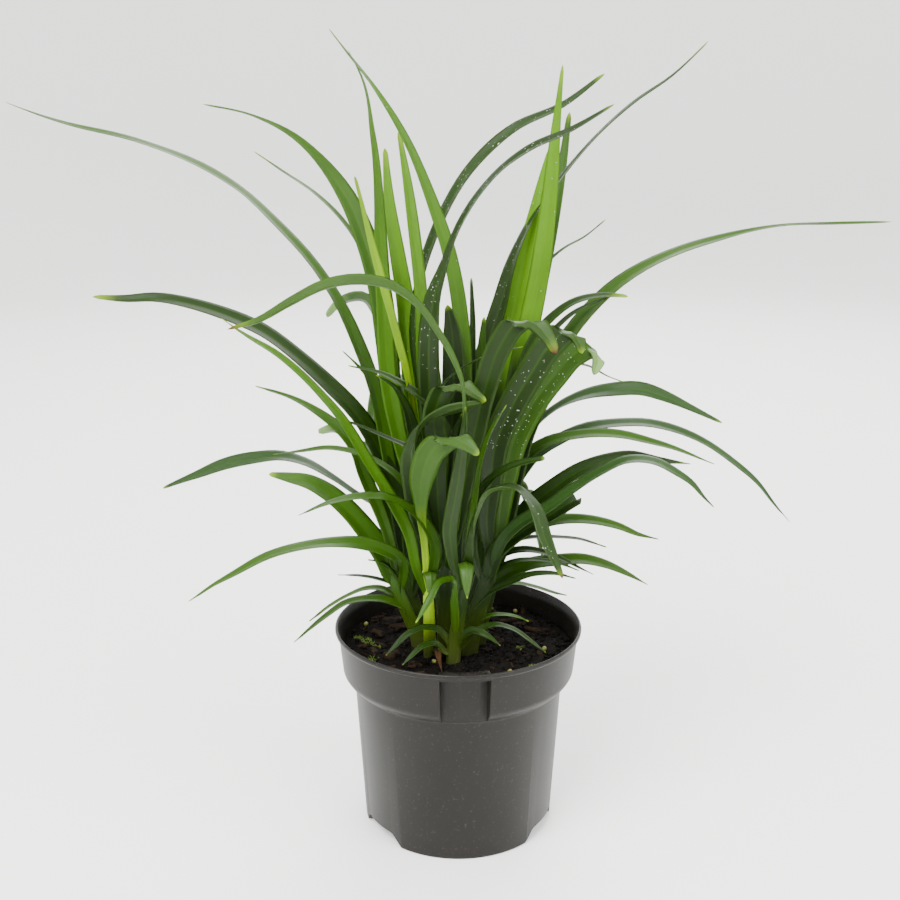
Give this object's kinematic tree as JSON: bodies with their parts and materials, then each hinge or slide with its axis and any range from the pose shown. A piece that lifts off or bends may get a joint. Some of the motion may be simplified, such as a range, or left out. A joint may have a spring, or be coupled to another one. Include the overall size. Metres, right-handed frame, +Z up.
{
  "type": "potted flax lily",
  "caption": "Strap-leaved flax lily clump in a round dark plastic nursery pot: arching green leaves in fans, potting mix below the rim and drainage notches in the foot.",
  "frame": {"origin": "on the pot's axis at the height of its foot, under the middle of the whole part", "axes": "+Z is up along the pot's axis, the pot's label recess faces -Y, and the leaves spread widest along X"},
  "size_m": [0.5172, 0.354, 0.4691],
  "materials": {
    "pot_plastic": "satin injection-moulded polypropylene, dark warm grey",
    "potting_mix": "rough dark bark and peat",
    "leaf": "satin green living leaf with fine lengthwise veins"
  },
  "bodies": {
    "root": {"pot": "pot_plastic", "potting_mix": "potting_mix", "shoot_front": "leaf", "shoot_young": "leaf", "shoot_right_fan": "leaf", "shoot_left": "leaf", "shoot_centre": "leaf", "shoot_right": "leaf", "shoot_tall": "leaf", "shoot_left_back": "leaf", "shoot_right_back": "leaf", "shoot_back": "leaf", "shoot_back_right": "leaf"}
  },
  "joints": []
}
